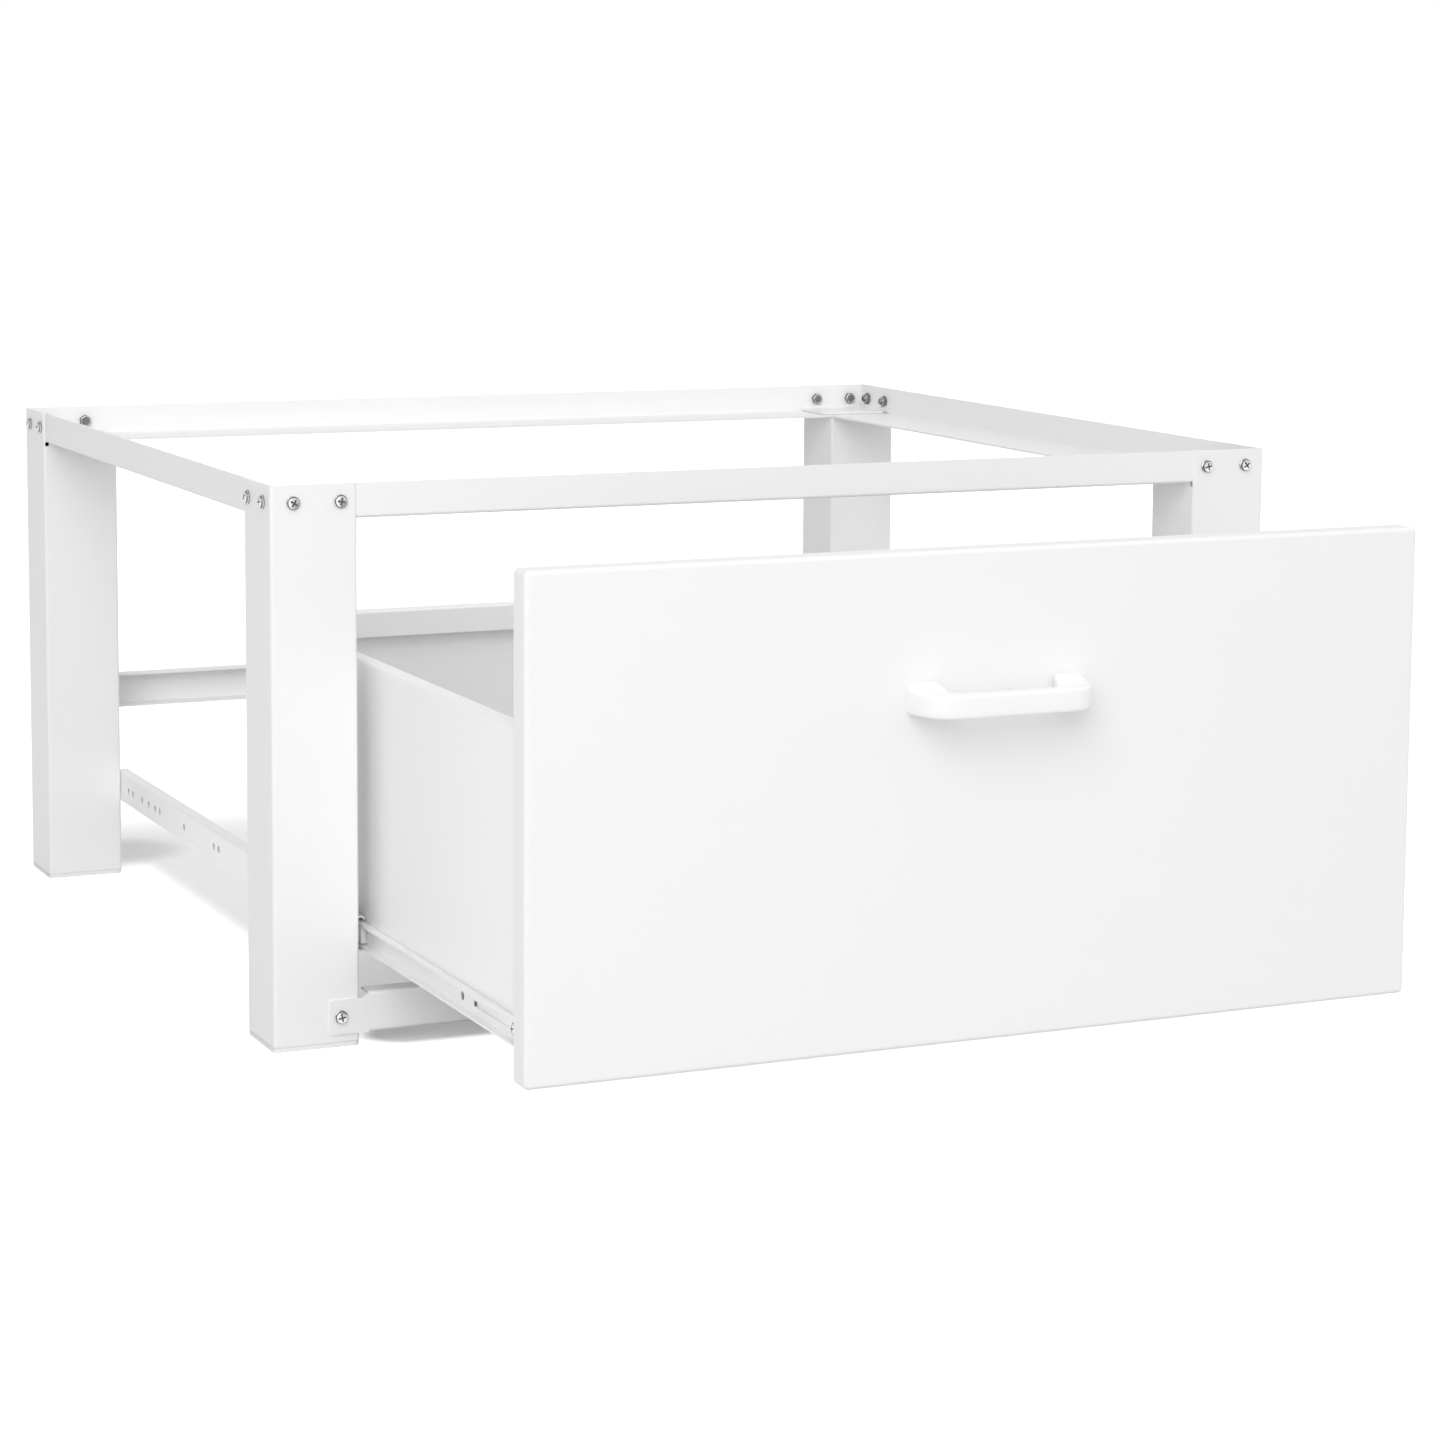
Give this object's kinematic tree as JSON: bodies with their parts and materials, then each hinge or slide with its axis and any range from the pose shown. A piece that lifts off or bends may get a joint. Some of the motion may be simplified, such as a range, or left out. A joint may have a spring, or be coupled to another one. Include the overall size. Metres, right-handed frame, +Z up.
{
  "type": "washer pedestal drawer",
  "caption": "Raised steel pedestal for a washing machine: leg frame with seating ledges around the top and a pull-out drawer with a bow handle below.",
  "frame": {"origin": "on the floor, under the middle of the part's whole extent with the drawer pulled out as at rest", "axes": "+Z up, +X to the right seen from the front, the drawer opens towards -Y"},
  "size_m": [0.6348, 0.8126, 0.313],
  "materials": {
    "frame_coat": "white powder coat, satin",
    "drawer_coat": "white powder coat, satin",
    "slide_coat": "white coat on rolled steel, semi-gloss",
    "panel_board": "board in smooth white foil, satin",
    "handle_plastic": "white moulded plastic, semi-gloss",
    "foot_plastic": "white moulded plastic, matt",
    "zinc": "bright zinc",
    "cage_steel": "plain rolled steel",
    "ball_steel": "polished"
  },
  "bodies": {
    "frame": {"bar_front": "frame_coat", "bar_front_nuts": "zinc", "bar_front_screws": "zinc", "bar_rear": "frame_coat", "bar_rear_nuts": "zinc", "bar_rear_screws": "zinc", "foot_cap_front_left": "foot_plastic", "foot_cap_front_right": "foot_plastic", "foot_cap_rear_left": "foot_plastic", "foot_cap_rear_right": "foot_plastic", "gusset_front_left": "frame_coat", "gusset_front_right": "frame_coat", "gusset_rear_left": "frame_coat", "gusset_rear_right": "frame_coat", "leg_front_left": "frame_coat", "leg_front_right": "frame_coat", "leg_nuts_front_left": "zinc", "leg_nuts_front_right": "zinc", "leg_nuts_rear_left": "zinc", "leg_nuts_rear_right": "zinc", "leg_rear_left": "frame_coat", "leg_rear_right": "frame_coat", "leg_screws_front_left": "zinc", "leg_screws_front_right": "zinc", "leg_screws_rear_left": "zinc", "leg_screws_rear_right": "zinc", "rail_front": "frame_coat", "rail_left": "frame_coat", "rail_rear": "frame_coat", "rail_right": "frame_coat", "slide_outer_left": "slide_coat", "slide_outer_right": "slide_coat", "slide_outer_screws_left": "zinc", "slide_outer_screws_right": "zinc"},
    "drawer": {"drawer_back": "drawer_coat", "drawer_bottom": "drawer_coat", "drawer_rivets": "zinc", "drawer_side_left": "drawer_coat", "drawer_side_right": "drawer_coat", "front_panel": "panel_board", "handle": "handle_plastic", "handle_screws": "zinc", "panel_screws": "zinc", "slide_inner_left": "slide_coat", "slide_inner_right": "slide_coat", "slide_inner_screws_left": "zinc", "slide_inner_screws_right": "zinc"},
    "cage_left": {"ball_cage_left": "cage_steel", "cage_balls_left": "ball_steel"},
    "cage_right": {"ball_cage_right": "cage_steel", "cage_balls_right": "ball_steel"}
  },
  "joints": [
    {"name": "drawer_slide", "type": "slide", "parent": "frame", "child": "drawer", "axis": [0, -1, 0], "range_m": [-0.238, 0.092]},
    {"name": "cage_left_slide", "type": "slide", "parent": "frame", "child": "cage_left", "axis": [0, -1, 0], "range_m": [-0.119, 0.046]},
    {"name": "cage_right_slide", "type": "slide", "parent": "frame", "child": "cage_right", "axis": [0, -1, 0], "range_m": [-0.119, 0.046]}
  ],
  "couplings": [
    {"joint": "cage_left_slide", "follows": "drawer_slide", "ratio": 0.5},
    {"joint": "cage_right_slide", "follows": "drawer_slide", "ratio": 0.5}
  ]
}
